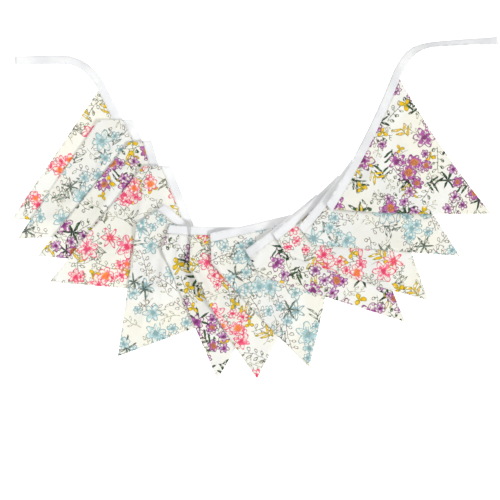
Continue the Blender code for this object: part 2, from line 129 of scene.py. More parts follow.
def divided_finely(bm):
    """Cuts every long edge in two until none is left, and keeps the triangles even."""
    for _ in range(CUTTING_ROUNDS):
        long_edges = [e for e in bm.edges if e.calc_length() > LONG_EDGE]
        if not long_edges:
            break
        bmesh.ops.subdivide_edges(bm, edges=long_edges, cuts=1)
        bmesh.ops.triangulate(bm, faces=bm.faces)
        bmesh.ops.dissolve_degenerate(bm, dist=SLIVER, edges=bm.edges)
        bmesh.ops.triangulate(bm, faces=[f for f in bm.faces if len(f.verts) > 3])
        bm.normal_update()
        flat = [f for f in bm.faces if lies_flat(f)]
        inner = [e for e in bm.edges
                 if len(e.link_faces) == 2 and all(lies_flat(f) for f in e.link_faces)]
        bmesh.ops.beautify_fill(bm, faces=flat, edges=inner)
    bmesh.ops.triangulate(bm, faces=bm.faces)


def eased(points, pairs, rounds):
    """Heights evened out along the given pairs of neighbours, leaving the plan as it is."""
    heights = points[:, 2].copy()
    first, second = pairs[:, 0], pairs[:, 1]
    count = np.zeros(len(points))
    np.add.at(count, first, 1.0)
    np.add.at(count, second, 1.0)
    moving = count > 0
    for _ in range(rounds):
        total = np.zeros(len(points))
        np.add.at(total, first, heights[second])
        np.add.at(total, second, heights[first])
        heights[moving] += EASING * (total[moving] / count[moving] - heights[moving])
    return heights


def soft_sheet(name, node, layer, thinner, rounds):
    """A fine sheet on the folds of a CAD node: evened out, thinned to cloth, and puckered.

    Its edges stand out a hair further, which closes the solids' gap at the sewn join.
    """
    bm = bmesh.new()
    bm.from_mesh(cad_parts[node].data)
    bmesh.ops.remove_doubles(bm, verts=bm.verts, dist=WELD)
    divided_finely(bm)
    bm.normal_update()
    bm.verts.ensure_lookup_table()
    points = np.array([v.co for v in bm.verts])
    normals = np.array([v.normal for v in bm.verts])
    pairs = np.array([(e.verts[0].index, e.verts[1].index) for e in bm.edges
                      if any(lies_flat(f) for f in e.link_faces)])
    points[:, 2] = eased(points, pairs, rounds)
    sideways = np.linalg.norm(normals[:, :2], axis=1)
    rim = sideways > RIM_LEAN
    points[rim, :2] += normals[rim, :2] / sideways[rim, None] * FULLER
    points[:, 2] -= np.clip(normals[:, 2] * FACE_TURN, -1.0, 1.0) * thinner / 2.0
    points[:, 2] += lie_of(points[:, 0] / MM, points[:, 1] / MM, layer)
    for vertex, point in zip(bm.verts, points):
        vertex.co = point
    bm.normal_update()
    mesh = bpy.data.meshes.new(name)
    bm.to_mesh(mesh)
    bm.free()
    mesh.shade_smooth()
    mesh.set_sharp_from_angle(angle=SHARP_EDGE)
    piece = bpy.data.objects.new(name, mesh)
    bpy.context.scene.collection.objects.link(piece)
    return piece


# The weave: cotton threads over and under. THREAD is the width of one, SLUB where it thickens.
THREAD = 0.42 * MM
SLUB_SCALE = 900.0
SLUB_HEIGHTS = (0.3, 0.7, 0.7, 1.0)
SLUB_TONES = (0.25, 0.75, 0.96, 1.0)
FULL_TURN = 2.0 * math.pi


class Wiring:
    """Adds nodes to a tree and joins them, so that a pattern reads like a sum."""

    def __init__(self, tree):
        self.tree = tree

    def add(self, kind, inputs=(), **settings):
        node = self.tree.nodes.new(kind)
        for key, value in settings.items():
            setattr(node, key, value)
        for key, value in dict(inputs).items():
            self.feed(node.inputs[key], value)
        return node

    def feed(self, socket, value):
        if isinstance(value, bpy.types.NodeSocket):
            self.tree.links.new(value, socket)
        else:
            socket.default_value = value

    def sum(self, operation, *values):
        node = self.add("ShaderNodeMath", operation=operation)
        for socket, value in zip(node.inputs, values):
            self.feed(socket, value)
        return node.outputs[0]

    def plus(self, first, second):
        return self.sum("ADD", first, second)

    def minus(self, first, second):
        return self.sum("SUBTRACT", first, second)

    def times(self, first, second):
        return self.sum("MULTIPLY", first, second)

    def per(self, first, second):
        return self.sum("DIVIDE", first, second)

    def vector(self, operation, *values):
        node = self.add("ShaderNodeVectorMath", operation=operation)
        for socket, value in zip(node.inputs, values):
            self.feed(socket, value)
        return node.outputs["Value" if operation == "LENGTH" else "Vector"]

    def split(self, vector):
        node = self.add("ShaderNodeSeparateXYZ", {"Vector": vector})
        return node.outputs["X"], node.outputs["Y"]

    def blend(self, share, under, over, how="MIX"):
        node = self.add("ShaderNodeMix", data_type="RGBA", blend_type=how)
        self.feed(node.inputs[0], share)
        self.feed(node.inputs[6], under)
        self.feed(node.inputs[7], over)
        return node.outputs[2]

    def between(self, value, low, high, out_low=0.0, out_high=1.0):
        node = self.add("ShaderNodeMapRange", clamp=True)
        for socket, number in zip(node.inputs, (value, low, high, out_low, out_high)):
            self.feed(socket, number)
        return node.outputs[0]

    def noise(self, vector, scale, detail=2.0):
        inputs = {"Vector": vector, "Scale": scale, "Detail": detail}
        return self.add("ShaderNodeTexNoise", inputs).outputs


def new_group(name, inputs, outputs):
    """A shader node group with its sockets, and the wiring to fill it."""
    group = bpy.data.node_groups.new(name, "ShaderNodeTree")
    for way, labels in (("INPUT", inputs), ("OUTPUT", outputs)):
        for label in labels:
            kind = "NodeSocketVector" if label == "Vector" else "NodeSocketFloat"
            group.interface.new_socket(name=label, in_out=way, socket_type=kind)
    wires = Wiring(group)
    start = wires.add("NodeGroupInput")
    end = wires.add("NodeGroupOutput")
    return group, wires, start.outputs, end.inputs


def make_weave():
    """Threads over and under: a height for the bump, and a slight change of tone."""
    group, w, given, out = new_group("plain_weave", ("Vector", "Thread"), ("Height", "Tone"))
    turns = w.per(math.pi, given["Thread"])
    x, y = w.split(given["Vector"])
    warp = w.sum("SINE", w.times(x, turns))
    weft = w.sum("SINE", w.times(y, turns))
    thread = w.sum("ABSOLUTE", w.times(warp, weft))
    slub = w.noise(given["Vector"], SLUB_SCALE)["Fac"]
    w.feed(out["Height"], w.times(thread, w.between(slub, *SLUB_HEIGHTS)))
    w.feed(out["Tone"], w.between(slub, *SLUB_TONES))
    return group


PLAIN_WEAVE = make_weave()

# The print. Every pennant is cut from one of three prints of the same family: ink-drawn
# blossoms in patches with loose ones between, star-shaped leaves, and sprigs with berries.
# Two groups draw all of it, one round a centre and one along a stem. A petal's numbers are
# shares of the blossom's reach, or of its own angle.
PEN_EDGE = 0.45
BLOSSOM_SIZES = (0.74, 1.16)
PETAL_SIZES = (0.86, 1.08)
PETAL_SEED = (997.0,) * 3
PETAL_MIDDLE = 0.57
PETAL_HALF = 0.44
STROKE_FAN = 0.19
STROKE_PEN = 0.8
STROKE_ENDS = (0.32, 0.62)
HEART_EDGE = (0.75, 1.1)
PATCH_SCATTER = 0.75


def cells(w, vector, cell, scatter):
    """Centres strewn over the cloth, about a cell apart."""
    return w.add(
        "ShaderNodeTexVoronoi",
        {"Vector": vector, "Scale": w.per(1.0, cell), "Randomness": scatter},
        voronoi_dimensions="2D", feature="F1",
    ).outputs


def scattered(w, given):
    """Motifs on such centres: the way from the nearest, its place, and its own chance."""
    spread = cells(w, given["Vector"], given["Cell"], given["Scatter"])
    away = w.vector("SUBTRACT", given["Vector"], spread["Position"])
    chance = w.add("ShaderNodeSeparateColor", {"Color": spread["Color"]})
    return away, spread["Position"], chance.outputs


def inked(w, off, line):
    """A pen line of the given width, from the distance to its middle."""
    half = w.times(line, 0.5)
    return w.between(off, w.times(half, 1.0 - PEN_EDGE), w.times(half, 1.0 + PEN_EDGE), 1.0, 0.0)


def drawn_oval(w, along, length, across, width):
    """A mask of an oval's inside, and the distance to its edge, true at its narrow side."""
    parts = [w.sum("POWER", w.sum("ABSOLUTE", w.per(off, half)), 2.0)
             for off, half in ((along, length), (across, width))]
    out = w.sum("SQRT", w.plus(*parts))
    return w.sum("LESS_THAN", out, 1.0), w.times(w.sum("ABSOLUTE", w.minus(out, 1.0)), width)


def make_blossoms():
    """Blossoms round scattered centres, in patches: drawn petals, pen strokes and a heart."""
    group, w, given, out = new_group(
        "blossoms",
        ("Vector", "Cell", "Scatter", "Patch", "Patch Reach", "Petals", "Size", "Plump", "Bare",
         "Line", "Heart"),
        ("Line", "Inside", "Heart", "Tone", "Out"),
    )
    away, place, chance = scattered(w, given)
    x, y = w.split(away)
    far = w.vector("LENGTH", away)
    step = w.per(FULL_TURN, given["Petals"])
    angle = w.plus(w.sum("ARCTAN2", y, x), w.times(chance["Red"], FULL_TURN))
    steps = w.per(angle, step)
    petal = w.sum("FLOORED_MODULO", w.sum("FLOOR", steps), given["Petals"])
    lot = w.add(
        "ShaderNodeTexWhiteNoise",
        {"Vector": w.vector("MULTIPLY", place, PETAL_SEED), "W": petal}, noise_dimensions="4D",
    ).outputs["Value"]
    reach = w.times(given["Size"], w.between(chance["Green"], 0.0, 1.0, *BLOSSOM_SIZES))
    reach = w.times(reach, w.between(lot, 0.0, 1.0, *PETAL_SIZES))
    turn = w.times(w.minus(w.sum("FRACT", steps), 0.5), step)
    along = w.minus(w.times(far, w.sum("COSINE", turn)), w.times(reach, PETAL_MIDDLE))
    across = w.times(far, w.sum("SINE", turn))
    width = w.times(w.sum("TANGENT", w.times(step, 0.5)),
                    w.times(reach, w.times(given["Plump"], PETAL_MIDDLE)))
    inside, rim = drawn_oval(w, along, w.times(reach, PETAL_HALF), across, width)
    out_share = w.per(far, reach)
    fan = w.sum("ABSOLUTE", w.minus(w.sum("ABSOLUTE", turn), w.times(step, STROKE_FAN)))
    stroke = inked(w, w.times(far, w.sum("SINE", fan)), w.times(given["Line"], STROKE_PEN))
    stroke_end = w.between(lot, 0.0, 1.0, *STROKE_ENDS)
    stroke = w.times(stroke, w.sum("LESS_THAN", out_share, stroke_end))
    patch = cells(w, place, given["Patch"], PATCH_SCATTER)
    near = w.sum("LESS_THAN", w.times(patch["Distance"], given["Patch"]), given["Patch Reach"])
    there = w.times(near, w.sum("GREATER_THAN", chance["Blue"], given["Bare"]))
    core = w.per(out_share, w.sum("MAXIMUM", given["Heart"], 0.001))
    drawn = w.sum("MAXIMUM", inked(w, rim, given["Line"]), w.times(stroke, inside))
    w.feed(out["Line"], w.times(drawn, there))
    w.feed(out["Inside"], w.times(inside, there))
    w.feed(out["Heart"], w.times(w.between(core, *HEART_EDGE, 1.0, 0.0), there))
    w.feed(out["Tone"], lot)
    w.feed(out["Out"], out_share)
    return group


def make_sprigs():
    """Bent stems on scattered centres, with a leaf or berry on a twig to each side in turn."""
    group, w, given, out = new_group(
        "sprigs",
        ("Vector", "Cell", "Scatter", "Pitch", "Pairs", "Bend", "Stalk", "Long", "Wide", "Lean",
         "Bare", "Line"),
        ("Line", "Inside", "Tone"),
    )
    away, _, chance = scattered(w, given)
    x, y = w.split(away)
    turn = w.times(chance["Red"], FULL_TURN)
    c = w.sum("COSINE", turn)
    s = w.sum("SINE", turn)
    along = w.plus(w.times(x, c), w.times(y, s))
    across = w.minus(w.times(y, c), w.times(x, s))
    bend = w.times(given["Bend"], w.between(chance["Green"], 0.0, 1.0, -1.0, 1.0))
    across = w.minus(across, w.times(bend, w.times(along, along)))
    off = w.sum("ABSOLUTE", across)
    period = w.times(given["Pitch"], 2.0)
    lean = w.times(given["Lean"], off)
    count = w.plus(w.per(w.minus(along, lean), period), w.times(w.sum("SIGN", across), 0.25))
    half_pairs = w.times(given["Pairs"], 0.5)
    inner = w.sum("LESS_THAN", w.sum("ABSOLUTE", w.plus(w.sum("FLOOR", count), 0.5)), half_pairs)
    shift = w.times(w.minus(w.sum("FRACT", count), 0.5), period)
    inside, rim = drawn_oval(w, w.minus(off, given["Stalk"]), given["Long"], shift, given["Wide"])
    twig_end = w.minus(given["Stalk"], given["Long"])
    twig = w.times(inked(w, w.sum("ABSOLUTE", shift), given["Line"]),
                   w.sum("LESS_THAN", off, twig_end))
    stem_end = w.times(period, half_pairs)
    stem = w.times(inked(w, off, given["Line"]),
                   w.sum("LESS_THAN", w.sum("ABSOLUTE", along), stem_end))
    drawn = w.sum("MAXIMUM", inked(w, rim, given["Line"]), twig)
    drawn = w.sum("MAXIMUM", w.times(drawn, inner), stem)
    there = w.sum("GREATER_THAN", chance["Blue"], given["Bare"])
    w.feed(out["Line"], w.times(drawn, there))
    w.feed(out["Inside"], w.times(w.times(inside, inner), there))
    w.feed(out["Tone"], chance["Green"])
    return group


BLOSSOMS = make_blossoms()
SPRIGS = make_sprigs()

# The motifs, in millimetres but for the shares and counts. Bare is the share of centres that
# stay empty, Plump how much of its angle a petal fills, Heart the share of the reach that the
# heart takes, Bend how much a stem curves and Lean how far its twigs slope.
SHARES_AND_COUNTS = ("Scatter", "Petals", "Plump", "Bare", "Heart", "Pairs", "Lean", "Bend")
LINE = 0.80
SPRIG = {"Cell": 38, "Scatter": 0.55, "Pitch": 4.1, "Pairs": 4, "Bend": 15, "Stalk": 4.8,
         "Long": 2.0, "Wide": 1.7, "Lean": 0.45, "Bare": 0.05, "Line": LINE * 0.85}
TENDRIL = {"Cell": 29, "Scatter": 0.7, "Pitch": 3.9, "Pairs": 3, "Bend": 28, "Stalk": 3.8,
           "Long": 1.7, "Wide": 1.4, "Lean": 0.8, "Bare": 0.10, "Line": LINE * 0.8}
SPRAY = {"Cell": 44, "Scatter": 0.8, "Pitch": 3.2, "Pairs": 2, "Bend": 10, "Stalk": 4.2,
         "Long": 4.0, "Wide": 1.3, "Lean": 0.9, "Bare": 0.3, "Line": LINE}
FRESH = {**SPRAY, "Long": 4.4, "Wide": 1.7, "Lean": 0.7}
BLOSSOM = {"Patch": 60, "Patch Reach": 60, "Petals": 6, "Line": LINE}
STAR = {**BLOSSOM, "Cell": 50, "Scatter": 0.85, "Size": 13.0, "Plump": 0.26, "Bare": 0.25,
        "Heart": 0.05}
SMALL_STAR = {**STAR, "Size": 10.5, "Plump": 0.22}
LILY = {**BLOSSOM, "Cell": 58, "Scatter": 0.8, "Size": 12.5, "Plump": 0.5, "Bare": 0.40,
        "Heart": 0.14}
LOOSE = {**BLOSSOM, "Cell": 50, "Scatter": 0.75, "Size": 13.0, "Plump": 0.80, "Bare": 0.20,
         "Heart": 0.13}
CLUSTER = {**BLOSSOM, "Patch": 66, "Patch Reach": 19, "Cell": 17.0, "Scatter": 0.45,
           "Size": 7.0, "Plump": 0.88, "Bare": 0.05, "Heart": 0.16}
FULL_CLUSTER = {**CLUSTER, "Patch": 60, "Patch Reach": 23}
SUNNY = {**BLOSSOM, "Patch": 66, "Patch Reach": 17, "Cell": 21.0, "Scatter": 0.40,
         "Size": 9.0, "Plump": 0.92, "Bare": 0.30, "Heart": 0.50}
CLOSE_SUNNY = {**SUNNY, "Patch": 60}
BUD = {**BLOSSOM, "Cell": 36, "Scatter": 0.85, "Petals": 3, "Size": 7.4, "Plump": 0.30,
       "Bare": 0.30, "Line": LINE * 0.8, "Heart": 0.2}

PAPER = (0.800, 0.790, 0.715, 1.0)
COOL_PAPER = (0.790, 0.793, 0.760, 1.0)
OLIVE = (0.120, 0.125, 0.080, 1.0)
PALE_OLIVE = (0.30, 0.30, 0.18, 1.0)
UMBER = (0.150, 0.115, 0.095, 1.0)
CORAL = (0.72, 0.042, 0.135, 1.0)
ROSE = (0.84, 0.20, 0.31, 1.0)
BLUSH = (0.86, 0.46, 0.45, 1.0)
ORANGE = (0.90, 0.31, 0.004, 1.0)
AMBER = (0.66, 0.27, 0.008, 1.0)
GOLD = (0.80, 0.50, 0.01, 1.0)
MOSS = (0.33, 0.29, 0.01, 1.0)
STEEL = (0.22, 0.37, 0.40, 1.0)
AQUA = (0.47, 0.65, 0.66, 1.0)
SAGE = (0.29, 0.42, 0.32, 1.0)
DARK_SAGE = (0.07, 0.10, 0.08, 1.0)
LEAF = (0.045, 0.12, 0.035, 1.0)
DARK_LEAF = (0.008, 0.022, 0.012, 1.0)
PLUM = (0.19, 0.025, 0.15, 1.0)
ORCHID = (0.46, 0.13, 0.39, 1.0)
LILAC = (0.58, 0.30, 0.56, 1.0)

# A layer of the print: the group that draws it, its motif, where it starts, its line and fill
# inks, how much of a petal the fill covers, and the heart's ink. The last layer is on top.
Layer = namedtuple("Layer", "group sizes start line fill wash heart")
PRINTS = {
    "pink": (
        Layer(SPRIGS, TENDRIL, (0.31, 0.07), PALE_OLIVE, PAPER, 0.2, None),
        Layer(SPRIGS, SPRIG, (0.02, 0.55), OLIVE, PALE_OLIVE, 0.25, None),
        Layer(SPRIGS, SPRAY, (0.74, 0.16), OLIVE, PALE_OLIVE, 0.4, None),
        Layer(SPRIGS, FRESH, (0.27, 0.49), MOSS, GOLD, 0.7, None),
        Layer(BLOSSOMS, BUD, (0.90, 0.35), MOSS, GOLD, 1.0, GOLD),
        Layer(BLOSSOMS, LILY, (0.44, 0.83), CORAL, BLUSH, 0.25, GOLD),
        Layer(BLOSSOMS, LOOSE, (0.12, 0.28), CORAL, ROSE, 0.40, CORAL),
        Layer(BLOSSOMS, CLUSTER, (0.60, 0.41), CORAL, ROSE, 0.30, CORAL),
        Layer(BLOSSOMS, SUNNY, (0.60, 0.41), CORAL, ROSE, 0.40, ORANGE),
    ),
    "blue": (
        Layer(SPRIGS, TENDRIL, (0.11, 0.67), PALE_OLIVE, PAPER, 0.2, None),
        Layer(SPRIGS, SPRIG, (0.52, 0.25), UMBER, PAPER, 0.2, None),
        Layer(SPRIGS, SPRAY, (0.14, 0.36), DARK_SAGE, SAGE, 0.4, None),
        Layer(BLOSSOMS, LILY, (0.94, 0.13), STEEL, AQUA, 0.35, SAGE),
        Layer(BLOSSOMS, SMALL_STAR, (0.37, 0.71), DARK_SAGE, SAGE, 0.6, SAGE),
        Layer(BLOSSOMS, LOOSE, (0.62, 0.08), STEEL, AQUA, 0.50, SAGE),
        Layer(BLOSSOMS, FULL_CLUSTER, (0.27, 0.91), STEEL, AQUA, 0.45, SAGE),
    ),
    "purple": (
        Layer(SPRIGS, TENDRIL, (0.81, 0.47), PALE_OLIVE, PAPER, 0.2, None),
        Layer(SPRIGS, SPRIG, (0.22, 0.95), OLIVE, LEAF, 0.55, None),
        Layer(SPRIGS, SPRAY, (0.64, 0.76), DARK_LEAF, LEAF, 0.8, None),
        Layer(BLOSSOMS, STAR, (0.07, 0.31), DARK_LEAF, LEAF, 0.85, LEAF),
        Layer(SPRIGS, FRESH, (0.71, 0.02), MOSS, GOLD, 0.6, None),
        Layer(BLOSSOMS, BUD, (0.50, 0.15), MOSS, GOLD, 1.0, GOLD),
        Layer(BLOSSOMS, LOOSE, (0.32, 0.58), PLUM, ORCHID, 0.50, PLUM),
        Layer(BLOSSOMS, FULL_CLUSTER, (0.17, 0.61), PLUM, LILAC, 0.50, PLUM),
        Layer(BLOSSOMS, CLOSE_SUNNY, (0.17, 0.61), PLUM, ORCHID, 0.75, AMBER),
    ),
}

# How the inks lie. Stain is the uneven take-up of the ink, and pen the wander of a line's
# width. A range has two ends in, and two out where the result isn't plainly 0 to 1.
PETAL_COVERS = 0.85
LOT_SPREAD = 0.10
FILL_FADES = (0.2, 1.0, -0.10, 0.06)
FILL_STARTS = 0.66
FILL_GROWS = 0.32
FILL_EDGE = (-0.02, 0.05)
DEEP_REACH = (0.15, 0.6, 0.55, 0.0)
DEEP_STAIN = (0.42, 0.55)
HEART_COVERS = 0.94
SPECK_STAIN = (0.54, 0.60)
SPECK_COVERS = 0.4
LINE_COVERS = 0.92
LINE_OVER_HEART = (0.0, 1.0, 1.0, 0.5)
BRIGHT_HEARTS = (ORANGE, AMBER)


def print_layer(w, place, layer, under, stain, pen):
    """One layer of the print over what lies under it."""
    node = w.add("ShaderNodeGroup", node_tree=layer.group)
    w.feed(node.inputs["Vector"], w.vector("ADD", place, (*layer.start, 0.0)))
    for label, value in layer.sizes.items():
        size = value if label in SHARES_AND_COUNTS else value * MM
        w.feed(node.inputs[label], w.times(pen, size) if label == "Line" else size)
    inside = node.outputs["Inside"]
    colour = w.blend(w.times(inside, PETAL_COVERS), under, PAPER)
    bare = w.times(w.minus(node.outputs["Tone"], 0.5), LOT_SPREAD)
    if layer.group == BLOSSOMS:
        bare = w.plus(bare, w.between(node.outputs["Out"], *FILL_FADES))
    bare = w.plus(bare, FILL_STARTS - FILL_GROWS * layer.wash)
    wash = w.between(w.minus(stain, bare), *FILL_EDGE)
    colour = w.blend(w.times(inside, wash), colour, layer.fill)
    ink = w.times(node.outputs["Line"], LINE_COVERS)
    if layer.heart:
        heart = node.outputs["Heart"]
        deep = w.times(w.between(node.outputs["Out"], *DEEP_REACH), inside)
        colour = w.blend(w.times(deep, w.between(stain, *DEEP_STAIN)), colour, layer.line)
        colour = w.blend(w.times(heart, HEART_COVERS), colour, layer.heart)
        speck = w.times(heart, w.between(stain, *SPECK_STAIN))
        colour = w.blend(w.times(speck, SPECK_COVERS), colour, layer.line)
        if layer.heart in BRIGHT_HEARTS:
            ink = w.times(ink, w.between(heart, *LINE_OVER_HEART))
    return w.blend(ink, colour, layer.line)


# The cotton itself, thin enough to glow a little where light falls on its edge or its back.
THIN_CLOTH = {"Subsurface Weight": 0.5, "Subsurface Radius": (1.0, 0.97, 0.90),
              "Subsurface Scale": 0.9 * MM}
PRINTED_FINISH = {"Roughness": 0.85, "Specular IOR Level": 0.25, "Sheen Weight": 0.08,
                  **THIN_CLOTH}
LINE_WANDER_SCALE = 120.0
LINE_WANDER = 4.0 * MM
STAIN_SCALE = 260.0
PEN_SCALE = 330.0
PEN_WIDTHS = (0.3, 0.7, 0.6, 1.3)
PAPER_SCALE = 14.0
PAPER_CHANGE = (0.42, 0.58)
CRUMPLE_SCALE = 48.0
CRUMPLE_BUMP = {"Strength": 0.6, "Distance": 3.5 * MM}
WEAVE_BUMP = {"Strength": 0.5, "Distance": 0.06 * MM}


def new_finish(name, constants):
    """A material with its shader's constants, and the wiring to add its patterns."""
    material = bpy.data.materials.new(name)
    material.use_nodes = True
    shader = material.node_tree.nodes["Principled BSDF"]
    for label, value in constants.items():
        shader.inputs[label].default_value = value
    return material, Wiring(material.node_tree), shader.inputs


def printed_cotton(name, layers):
    """Cream cotton with its print, its weave and a soft unevenness."""
    material, w, finish = new_finish(name, PRINTED_FINISH)
    place = w.add("ShaderNodeUVMap", uv_map="print").outputs["UV"]
    wander = w.vector("SUBTRACT", w.noise(place, LINE_WANDER_SCALE)["Color"], (0.5,) * 3)
    drawn = w.vector("ADD", place, w.vector("MULTIPLY", wander, (LINE_WANDER,) * 3))
    stain = w.noise(place, STAIN_SCALE, 3.0)["Fac"]
    pen = w.between(w.noise(place, PEN_SCALE, 1.0)["Fac"], *PEN_WIDTHS)
    paper = w.between(w.noise(place, PAPER_SCALE)["Fac"], *PAPER_CHANGE)
    colour = w.blend(paper, PAPER, COOL_PAPER)
    for layer in layers:
        colour = print_layer(w, drawn, layer, colour, stain, pen)
    weave = w.add("ShaderNodeGroup", {"Vector": place, "Thread": THREAD},
                  node_tree=PLAIN_WEAVE).outputs
    crumple = w.noise(place, CRUMPLE_SCALE, 3.0)["Fac"]
    soft = w.add("ShaderNodeBump", {"Height": crumple, **CRUMPLE_BUMP}).outputs["Normal"]
    bump = w.add("ShaderNodeBump", {"Height": weave["Height"], "Normal": soft, **WEAVE_BUMP})
    w.feed(finish["Base Color"], w.blend(1.0, colour, weave["Tone"], "MULTIPLY"))
    w.feed(finish["Normal"], bump.outputs["Normal"])
    return material


COTTONS = {name: printed_cotton("cotton_" + name, layers) for name, layers in PRINTS.items()}

# One pennant to a row: its print; its top corners on the tape's outer edge and the bow of the
# edge between them, in millimetres, which turn the print with the pennant; the place in the
# print that it was cut from, its depth below the tape and its flat area, in metres.
Pennant = namedtuple("Pennant", "print start end bow cut drop area")
PENNANTS = (
    Pennant("pink", (-181.2, 150.5), (-97.2, -19.2), 0.0, (0.155, 0.19), 0.161, 0.01433),
    Pennant("blue", (-162.8, 141.4), (-86.4, -30.0), 0.0, (0.40, 0.90), 0.173, 0.01532),
    Pennant("purple", (-130.1, 104.9), (-69.6, -72.0), -4.4, (0.95, 0.35), 0.165, 0.01401),
    Pennant("pink", (-112.6, 75.4), (-46.8, -102.0), 3.0, (1.55, 0.72), 0.171, 0.01586),
    Pennant("blue", (-135.1, 24.4), (8.4, -114.0), 7.0, (1.10, 1.48), 0.155, 0.01543),
    Pennant("purple", (-125.2, -18.2), (52.8, -36.0), 0.0, (1.72, 1.31), 0.168, 0.01412),
    Pennant("pink", (-101.3, -21.4), (86.4, -25.8), 0.0, (2.05, 0.44), 0.170, 0.01611),
    Pennant("blue", (-78.0, -36.1), (102.0, 7.2), -1.0, (2.40, 1.86), 0.173, 0.01579),
    Pennant("purple", (-37.2, -68.0), (106.8, 46.2), -3.6, (2.83, 1.04), 0.178, 0.01499),
    Pennant("pink", (4.9, -42.4), (134.4, 75.6), -4.4, (3.31, 1.57), 0.176, 0.01495),
    Pennant("blue", (35.6, -41.6), (145.6, 100.2), -3.0, (3.65, 0.63), 0.165, 0.01359),
    Pennant("purple", (81.8, -1.4), (166.6, 164.8), -4.6, (4.12, 1.93), 0.172, 0.01424),
)
CLOTH_THINNER = 0.45 * MM
CLOTH_EASING_ROUNDS = 9


def lay_print(piece, row):
    """Gives the cloth its place in the print: along the tape, and down from it, in metres."""
    start = np.array(row.start) * MM
    way = np.array(row.end) * MM - start
    way /= np.hypot(*way)
    points = np.empty(len(piece.data.vertices) * 3)
    piece.data.vertices.foreach_get("co", points)
    flat = points.reshape(-1, 3)[:, :2] - start
    along = flat @ way + row.cut[0]
    down = flat @ np.array([way[1], -way[0]]) + row.cut[1]
    corners = np.empty(len(piece.data.loops), dtype=int)
    piece.data.loops.foreach_get("vertex_index", corners)
    layer = piece.data.uv_layers.new(name="print")
    layer.data.foreach_set("uv", np.column_stack([along, down])[corners].ravel())


def clothe(piece, material):
    piece.data.materials.clear()
    piece.data.materials.append(material)


pennants = []
for index, row in enumerate(PENNANTS):
    node = f"pennant_{index + 1:02d}"
    pennant = soft_sheet(node + "_cloth", node, index + 1, CLOTH_THINNER, CLOTH_EASING_ROUNDS)
    lay_print(pennant, row)
    clothe(pennant, COTTONS[row.print])
    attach(pennant, "root")
    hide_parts(node)
    pennants.append(pennant)

# The tape. One length of white cotton bias tape, folded over the pennants' top edges and
# sewn down along its inner edge, turning back on itself at each pennant's end.
TAPE_WHITE = (0.80, 0.805, 0.81, 1.0)
TAPE_SHADE = (0.71, 0.72, 0.73, 1.0)
TAPE_FINISH = {"Roughness": 0.8, "Specular IOR Level": 0.25, **THIN_CLOTH}
TAPE_BUMP = {"Strength": 0.5, "Distance": 0.08 * MM}
TAPE_TONE_SCALE = 30.0
TAPE_TONES = (0.35, 0.65)
TAPE_THINNER = 0.2 * MM
TAPE_EASING_ROUNDS = 5


def tape_cotton():
    """White cotton with its weave and a slow change of tone."""
    material, w, finish = new_finish("tape_cotton", TAPE_FINISH)
    place = w.add("ShaderNodeTexCoord").outputs["Object"]
    tone = w.between(w.noise(place, TAPE_TONE_SCALE)["Fac"], *TAPE_TONES)
    weave = w.add("ShaderNodeGroup", {"Vector": place, "Thread": THREAD}, node_tree=PLAIN_WEAVE)
    bump = w.add("ShaderNodeBump", {"Height": weave.outputs["Height"], **TAPE_BUMP})
    w.feed(finish["Base Color"], w.blend(tone, TAPE_SHADE, TAPE_WHITE))
    w.feed(finish["Normal"], bump.outputs["Normal"])
    return material


tape = soft_sheet("tape_folded", "tape", 1, TAPE_THINNER, TAPE_EASING_ROUNDS)
clothe(tape, tape_cotton())
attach(tape, "root")
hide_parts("tape")

# The stitching. One row of white thread runs along the tape's inner edge over every pennant.
# Each stitch lies on the tape's top face, found from the height of the cloth beside it.
STITCH_DEPTH = 8.6 * MM
STITCH_PITCH = 3.2 * MM
STITCH_LENGTH = 2.4 * MM
THREAD_RADIUS = 0.2 * MM
STITCH_LENGTHS = (0.85, 1.08)
STITCH_SEED = 7
THREAD_FINISH = {"Base Color": (0.82, 0.82, 0.82, 1.0), "Roughness": 0.7}
BESIDE = 5.5 * MM
SAME_LEVEL = 1.3 * MM
ABOVE_ALL = 30.0 * MM
JUST_BELOW = 0.02 * MM
MOST_FACES = 80
FACES_UP = 0.3
DOWN = Vector((0.0, 0.0, -1.0))


def surface_of(piece):
    bm = bmesh.new()
    bm.from_mesh(piece.data)
    tree = BVHTree.FromBMesh(bm)
    bm.free()
    return tree


def tops_at(tree, x, y):
    """Every upward-facing height at a place, from the top down."""
    heights = []
    level = ABOVE_ALL
    for _ in range(MOST_FACES):
        spot, normal, _, _ = tree.ray_cast(Vector((x, y, level)), DOWN)
        if spot is None:
            break
        if normal.z > FACES_UP:
            heights.append(spot.z)
        level = spot.z - JUST_BELOW
    return heights


def stitch_row(row, cloth, tree):
    """Places and ways of the stitches along one pennant's top edge, a shallow bow."""
    start = np.array(row.start) * MM
    chord = np.array(row.end) * MM - start
    length = np.hypot(*chord)
    outward = np.array([-chord[1], chord[0]]) / length
    bow = outward * row.bow * MM * 4.0
    places = []
    for step in range(int(length / STITCH_PITCH)):
        u = (step + 0.5) * STITCH_PITCH / length
        way = chord + bow * (1.0 - 2.0 * u)
        way /= np.hypot(*way)
        inward = np.array([way[1], -way[0]])
        edge = start + chord * u + bow * u * (1.0 - u)
        x, y = edge + inward * STITCH_DEPTH
        beside = tops_at(cloth, *(edge + inward * (STITCH_DEPTH + BESIDE)))
        level = [z for z in tops_at(tree, x, y) if beside and abs(z - beside[0]) < SAME_LEVEL]
        if level:
            places.append(((x, y, level[0]), (*way, 0.0)))
    return places


